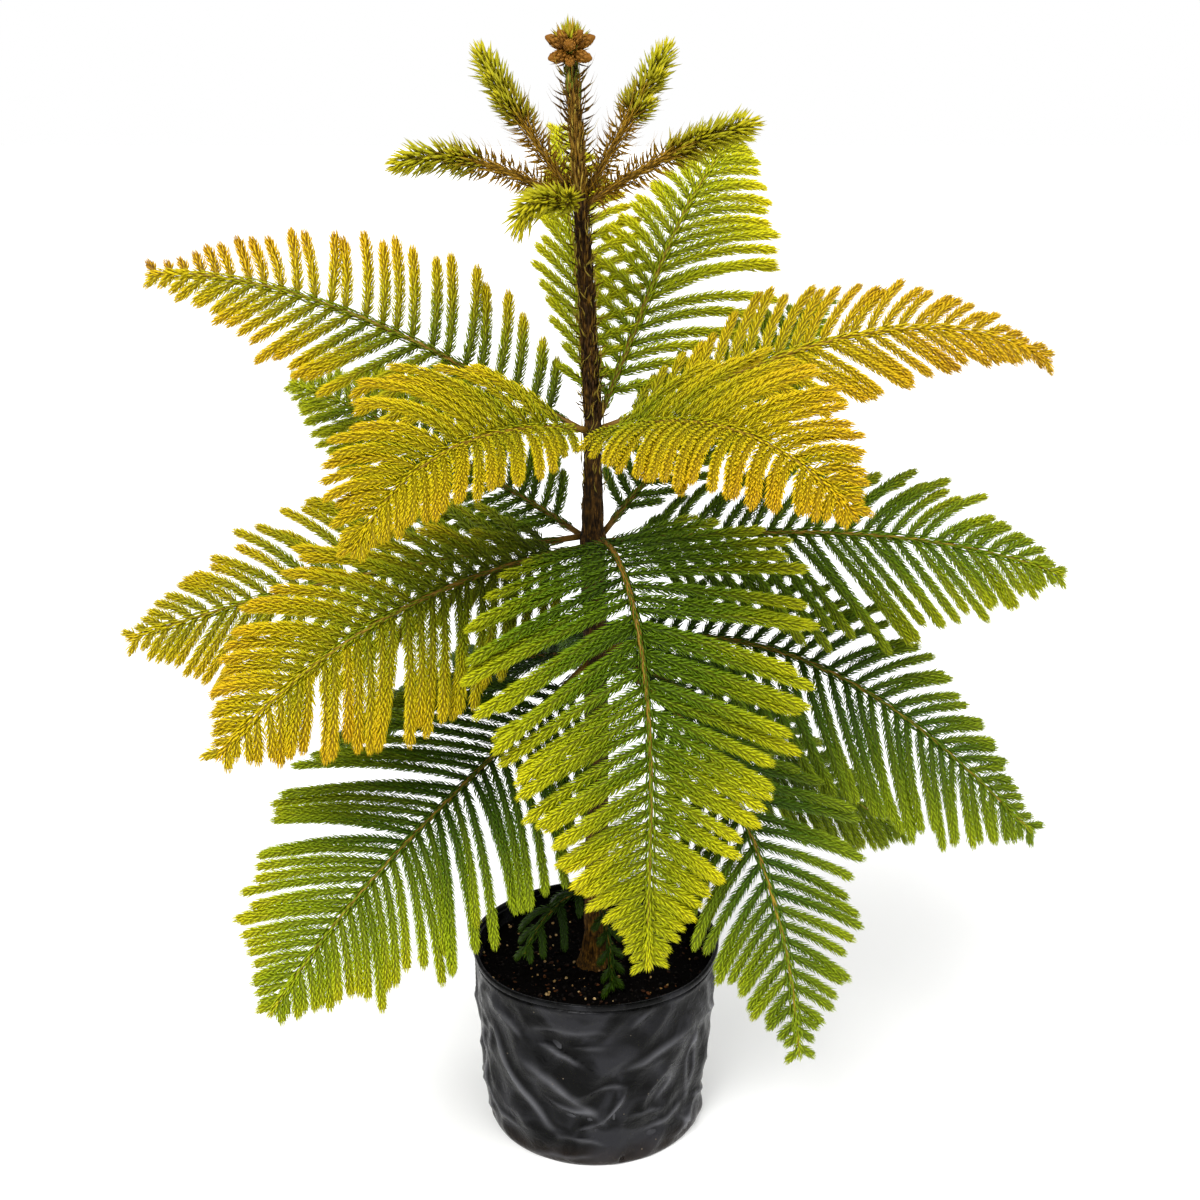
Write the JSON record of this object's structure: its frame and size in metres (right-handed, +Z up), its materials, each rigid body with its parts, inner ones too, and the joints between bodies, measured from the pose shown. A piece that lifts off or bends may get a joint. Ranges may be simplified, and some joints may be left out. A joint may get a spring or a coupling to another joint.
{
  "type": "potted araucaria",
  "caption": "A young Norfolk Island pine with tiers of flat drooping fronds, golden above and dark green below, growing in a soft black nursery bag of potting mix",
  "frame": {"origin": "centre of the flat base of the nursery bag, on the surface it stands on", "axes": "+Z up along the stem, -Y towards the viewer of the picture, +X to the viewer's right"},
  "size_m": [0.7239, 0.5229, 0.8629],
  "materials": {
    "bag_plastic": "soft satin black polythene, creased",
    "potting_mix": "moist dark bark and peat mix with pale perlite grains",
    "young_bark": "rough brown bark with leaf scales",
    "bud_scales": "dry brown bud scales",
    "shoot_needles": "olive needles, brown towards the stem",
    "gold_needles": "waxy golden yellow needles",
    "green_needles": "waxy yellow green needles",
    "dark_needles": "waxy dark green needles"
  },
  "bodies": {
    "root": {"grow_bag": "bag_plastic", "soil": "potting_mix", "trunk": "young_bark", "leader_buds": "bud_scales", "shoot_right": "shoot_needles", "shoot_upper_right": "shoot_needles", "shoot_upper_left": "shoot_needles", "shoot_left": "shoot_needles", "shoot_front": "shoot_needles", "frond_upper_right": "gold_needles", "frond_upper_back_right": "green_needles", "frond_upper_back": "green_needles", "frond_upper_left": "gold_needles", "frond_upper_front_left": "gold_needles", "frond_upper_front_right": "gold_needles", "frond_middle_right": "green_needles", "frond_middle_back_right": "green_needles", "frond_middle_back_left": "green_needles", "frond_middle_left": "gold_needles", "frond_middle_front_left": "gold_needles", "frond_middle_front": "green_needles", "frond_lower_right": "dark_needles", "frond_lower_back_right": "dark_needles", "frond_lower_back": "dark_needles", "frond_lower_back_left": "dark_needles", "frond_lower_left": "dark_needles", "frond_lower_front_right": "dark_needles", "basal_left": "dark_needles", "basal_front": "dark_needles", "basal_right": "dark_needles"}
  },
  "joints": []
}
